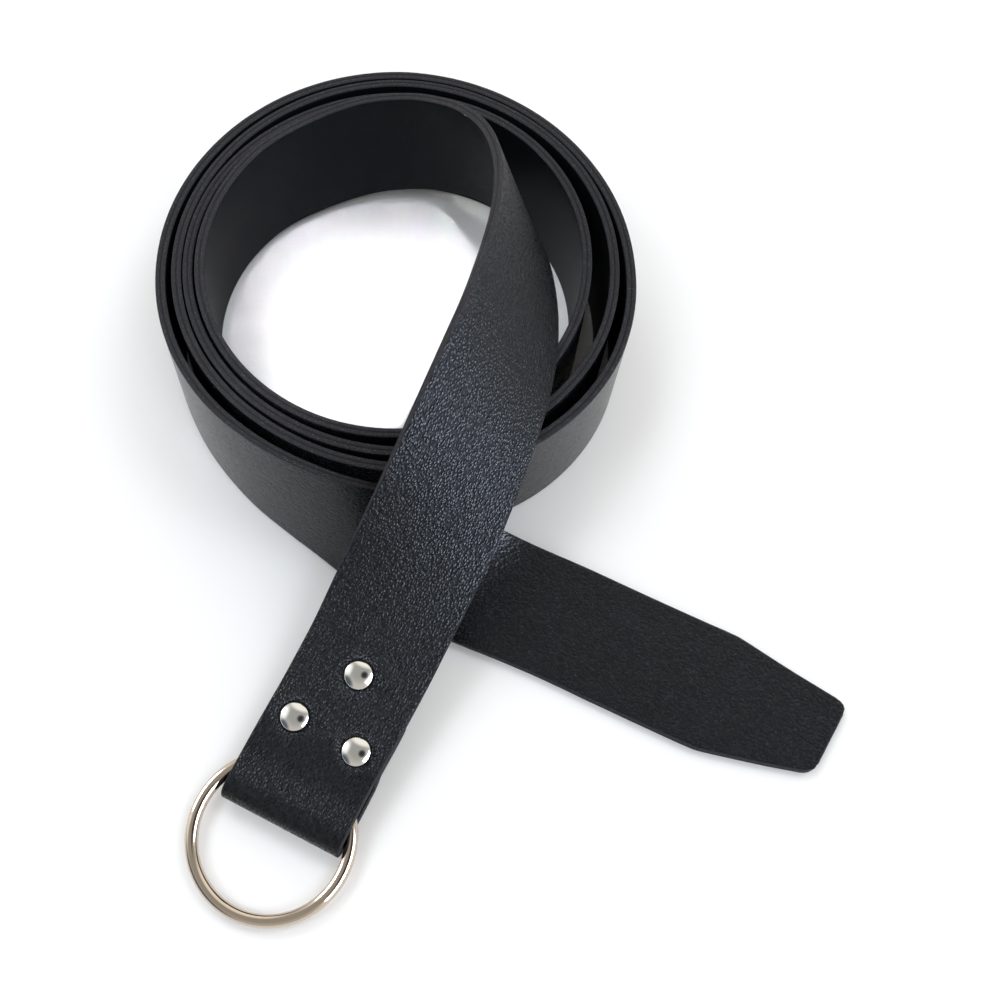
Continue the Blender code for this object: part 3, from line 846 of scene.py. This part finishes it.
def ring_mesh():
    """The ring's wire swept round, a touch fuller at its weld, placed in the fold."""
    mesh = bpy.data.meshes.new("ring")
    work = bmesh.new()
    middle = (RING_OUTER - RING_WIRE) / 2
    centre, along, across, out = station(FOLD_START)
    hub = centre - out * FOLD_OUTSIDE + along * (FOLD_OUTSIDE + RING_BEYOND_FOLD)
    hub = hub + across * RING_SIDEWAYS
    loops = []
    for step in range(RING_STEPS):
        turn = 2 * math.pi * step / RING_STEPS
        from_weld = abs((turn - WELD_TURN + math.pi) % (2 * math.pi) - math.pi) * middle
        radius = RING_WIRE / 2 + WELD_SWELL * math.exp(-((from_weld / WELD_REACH) ** 2))
        spoke = across * math.cos(turn) + along * math.sin(turn)
        loop = []
        for side in range(WIRE_STEPS):
            angle = 2 * math.pi * side / WIRE_STEPS
            reach = middle + radius * math.cos(angle)
            point = hub + spoke * reach + out * radius * math.sin(angle)
            loop.append(work.verts.new(point * MM))
        loops.append(loop)
    for step, loop in enumerate(loops):
        after = loops[(step + 1) % RING_STEPS]
        for side in range(WIRE_STEPS):
            other = (side + 1) % WIRE_STEPS
            work.faces.new((loop[side], after[side], after[other], loop[other]))
    bmesh.ops.recalc_face_normals(work, faces=work.faces[:])
    work.to_mesh(mesh)
    work.free()
    return mesh


ring_shape = ring_mesh()
ring_shape.materials.append(polished_nickel("nickel_plated_ring", "#c6b8a9", 0.14))
finished("nickel_ring", ring_shape, ["ring"])

# The rivets are three double-cap rivets of nickel-plated steel. Each has a domed cap on the grain
# side, a post through both layers and a flat cap under the flap, and the cap's rolled rim presses
# into the leather.

RIVET_CAP_RADIUS = 4.35
RIVET_CAP_TOP = 1.9
RIVET_CAP_UNDERSIDE = 0.02
RIVET_RIM = 0.32
RIVET_POST_RADIUS = 1.7
RIVET_POST_TOP = 0.3
RIVET_BACK_RADIUS = 3.2
RIVET_BACK_ROUNDING = 0.5
RIVET_BACK_THICKNESS = 0.9
RIVET_BACK_SEAT = 0.55
RIVET_STEPS = 72
DOME_STEPS = 14


def rivet_outline():
    """Radius and height of the rivet above the grain face, from the middle of its back cap up."""
    back = -(2 * STRAP_THICKNESS + LAYER_GAP) - RIVET_BACK_SEAT
    bottom = back - RIVET_BACK_THICKNESS
    rounding = RIVET_BACK_ROUNDING
    rows = [(0.0, bottom)]
    for degrees in (0, 22.5, 45, 67.5, 90):
        turn = math.radians(degrees)
        rows.append((RIVET_BACK_RADIUS - rounding + rounding * math.sin(turn),
                     bottom + rounding * (1 - math.cos(turn))))
    rows += [(RIVET_BACK_RADIUS, back), (RIVET_POST_RADIUS, back),
             (RIVET_POST_RADIUS, RIVET_POST_TOP),
             (RIVET_CAP_RADIUS - RIVET_RIM, RIVET_CAP_UNDERSIDE)]
    # The rim rolls round to the dome, which is a shallow cap of one radius.
    rim_height = RIVET_CAP_UNDERSIDE + RIVET_RIM
    for degrees in (-60, -30, 0, 25, 50):
        turn = math.radians(degrees)
        rows.append((RIVET_CAP_RADIUS - RIVET_RIM + RIVET_RIM * math.cos(turn),
                     rim_height + RIVET_RIM * math.sin(turn)))
    edge_radius, edge_height = rows[-1]
    rise = RIVET_CAP_TOP - edge_height
    dome = (edge_radius**2 + rise**2) / (2 * rise)
    for step in range(1, DOME_STEPS + 1):
        radius = edge_radius * (1 - step / DOME_STEPS)
        rows.append((radius, RIVET_CAP_TOP - dome + math.sqrt(dome**2 - radius**2)))
    return rows


def rivet_form():
    """One rivet, its outline turned about +Z, as the object that the nodes copy."""
    mesh = bpy.data.meshes.new("rivet_form")
    work = bmesh.new()
    outline = rivet_outline()
    bottom = work.verts.new((0.0, 0.0, outline[0][1] * MM))
    top = work.verts.new((0.0, 0.0, outline[-1][1] * MM))
    loops = []
    for radius, height in outline[1:-1]:
        loop = []
        for step in range(RIVET_STEPS):
            turn = 2 * math.pi * step / RIVET_STEPS
            point = Vector((radius * math.cos(turn), radius * math.sin(turn), height))
            loop.append(work.verts.new(point * MM))
        loops.append(loop)
    for side in range(RIVET_STEPS):
        other = (side + 1) % RIVET_STEPS
        work.faces.new((bottom, loops[0][other], loops[0][side]))
        for lower, upper in zip(loops, loops[1:]):
            work.faces.new((lower[side], lower[other], upper[other], upper[side]))
        work.faces.new((loops[-1][side], loops[-1][other], top))
    work.to_mesh(mesh)
    work.free()
    mesh.shade_smooth()
    thing = bpy.data.objects.new("rivet_form", mesh)
    bpy.context.scene.collection.objects.link(thing)
    return thing


def rivet_nodes(material):
    """Geometry Nodes tree that sets a rivet on each seat, standing out of the grain face."""
    tree, names, given = new_tree("set_rivets", (
        ("Seats", "Geometry"), ("Rivet", "Object"), ("Size", "Float")))
    form = node(tree, "GeometryNodeObjectInfo", {"Object": given["Rivet"]})
    out = node(tree, "GeometryNodeInputNamedAttribute", {"Name": "out"}, data_type="FLOAT_VECTOR")
    turned = node(tree, "FunctionNodeAlignRotationToVector", {"Vector": out}, axis="Z")
    shape = node(tree, "GeometryNodeInstanceOnPoints",
                 {"Points": given["Seats"], "Instance": form.outputs["Geometry"],
                  "Rotation": turned, "Scale": given["Size"]})
    shape = node(tree, "GeometryNodeRealizeInstances", {"Geometry": shape})
    shape = node(tree, "GeometryNodeSetMaterial", {"Geometry": shape, "Material": material})
    node(tree, "NodeGroupOutput", {"Geometry": shape})
    return tree, names


seats = []
outs = []
for back, sideways in RIVET_PLACES:
    centre, _, across, out = station(STRAP_LENGTH - back)
    seats.append((centre + across * sideways) * MM)
    outs.append(out)
seat_points = point_mesh("rivet_seats", seats, {"out": outs})
one_rivet = rivet_form()
rivet_tree, rivet_inputs = rivet_nodes(polished_nickel("nickel_plated_rivet", "#d8d7d4", 0.12))
rivet_mesh = made_mesh(seat_points, rivet_tree, rivet_inputs, {"Rivet": one_rivet, "Size": 1.0})
bpy.data.objects.remove(one_rivet, do_unlink=True)
finished("nickel_rivets", rivet_mesh, ["rivet_top", "rivet_left", "rivet_right"])

# The belt lies on a plain white table in a pale room. A cool window at the near right and a plain
# one at the left show in its gloss, soft lamps above clear the shadows, and the camera looks from
# nearly above.

FLOOR_SIZE = 6.0

floor_mesh = bpy.data.meshes.new("floor")
half_floor = FLOOR_SIZE / 2
floor_mesh.from_pydata([(-half_floor, -half_floor, 0.0), (half_floor, -half_floor, 0.0),
                        (half_floor, half_floor, 0.0), (-half_floor, half_floor, 0.0)],
                       [], [(0, 1, 2, 3)])
floor = bpy.data.objects.new("floor", floor_mesh)
bpy.context.scene.collection.objects.link(floor)
paper, paper_tree, paper_shader = new_material("matt_white_paper")
feed(paper_tree, paper_shader, {"Base Color": linear("#f2f2f2"), "Roughness": 0.9,
                                "Specular IOR Level": 0.1})
floor_mesh.materials.append(paper)


def direction(bearing, elevation):
    turn, rise = math.radians(bearing), math.radians(elevation)
    level = math.cos(rise)
    return Vector((math.sin(turn) * level, math.cos(turn) * level, math.sin(rise)))


# What the gloss mirrors besides the windows. The walls turn to ceiling between two heights, given
# as the height of a direction of length 1.
ROOM_STRENGTH = 1.4
WALL_TOP, CEILING_EDGE = 0.35, 0.95
# bearing, elevation, full within, gone beyond, colour
ROOM_PATCHES = (
    (290, 22, 14, 34, "#f4f4f4"),
    (242, 8, 12, 34, "#515c63"),
    (20, 20, 32, 52, "#f6f1e8"),
    (120, 14, 20, 50, "#d9d6d1"),
    (125, 66, 7, 22, "#322e2e"),
)

world = bpy.data.worlds.new("studio")
world.use_nodes = True
bpy.context.scene.world = world
room = world.node_tree
toward = node(room, "ShaderNodeTexCoord").outputs["Generated"]
upward = node(room, "ShaderNodeSeparateXYZ", {"Vector": toward}).outputs["Z"]
level = node(room, "ShaderNodeMapRange",
             {"Value": upward, "From Min": WALL_TOP, "From Max": CEILING_EDGE},
             interpolation_type="SMOOTHSTEP")
walls = node(room, "ShaderNodeMix",
             {"Factor": level, "A": linear("#bfbbb5"), "B": linear("#9c9c98")}, data_type="RGBA")
for bearing, elevation, full, gone, colour in ROOM_PATCHES:
    facing = node(room, "ShaderNodeVectorMath",
                  {0: toward, 1: direction(bearing, elevation)}, operation="DOT_PRODUCT")
    part = node(room, "ShaderNodeMapRange",
                {"Value": facing, "From Min": math.cos(math.radians(gone)),
                 "From Max": math.cos(math.radians(full))}, interpolation_type="SMOOTHSTEP")
    walls = node(room, "ShaderNodeMix", {"Factor": part, "A": walls, "B": linear(colour)},
                 data_type="RGBA")
feed(room, room.nodes["Background"], {"Color": walls, "Strength": ROOM_STRENGTH})


def soft_light(name, bearing, elevation, distance, width, height, power, colour):
    """A rectangular soft light in metres and watts that faces the belt from a direction."""
    lamp = bpy.data.lights.new(name, "AREA")
    lamp.shape = "RECTANGLE"
    lamp.size = width
    lamp.size_y = height
    lamp.energy = power
    lamp.color = linear(colour)[:3]
    thing = bpy.data.objects.new(name, lamp)
    away = direction(bearing, elevation)
    turned = away.to_track_quat("Z", "Y").to_matrix().to_4x4()
    thing.matrix_world = Matrix.Translation(away * distance) @ turned
    bpy.context.scene.collection.objects.link(thing)
    return thing


# The windows show in the gloss, and leave the table to the lamps.
near_window = soft_light("near_window", 124, 30, 1.3, 1.3, 0.55, 40.0, "#dfe9fd")
left_window = soft_light("left_window", 290, 22, 1.4, 0.55, 0.5, 16.0, "#f8f8ff")
near_window.visible_diffuse = False
left_window.visible_diffuse = False
# These clear the shadows from the table, the last one in the coil's hollow, and nothing mirrors
# them.
for number, bearing in enumerate((75, 145, 255, 325)):
    clearing = soft_light(f"clearing_lamp_{number}", bearing, 58, 1.4, 0.5, 0.5, 3.6, "#f0f6ff")
    clearing.visible_glossy = False
hollow_lamp = soft_light("hollow_lamp", 0, 90, 1.0, 0.09, 0.09, 0.028, "#ffffff")
hollow_lamp.location = (-0.034, 0.062, 1.0)
hollow_lamp.data.spread = math.radians(4)
hollow_lamp.visible_glossy = False

# The camera's place, and the two directions that fix its turn, as the photograph shows them.
CAMERA_PLACE = (-11.17, -156.37, 310.49)
CAMERA_RIGHT = (0.99999, 0.0, -0.003576)
CAMERA_UP = (0.001242, 0.937727, 0.347372)
CAMERA_LENS = 36.234
CAMERA_SENSOR = 36.0
CAMERA_SHIFT = (0.05, 0.10)

camera = bpy.data.objects.new("camera", bpy.data.cameras.new("camera"))
camera.data.sensor_width = CAMERA_SENSOR
camera.data.lens = CAMERA_LENS
camera.data.shift_x, camera.data.shift_y = CAMERA_SHIFT
camera.data.clip_start = 0.01
right = Vector(CAMERA_RIGHT)
up = Vector(CAMERA_UP)
turned = Matrix((right, up, right.cross(up))).transposed().to_4x4()
camera.matrix_world = Matrix.Translation(Vector(CAMERA_PLACE) * MM) @ turned
bpy.context.scene.collection.objects.link(camera)
bpy.context.scene.camera = camera
# The plain transform keeps the black leather and the white table as the photograph has them.
bpy.context.scene.view_settings.view_transform = "Standard"
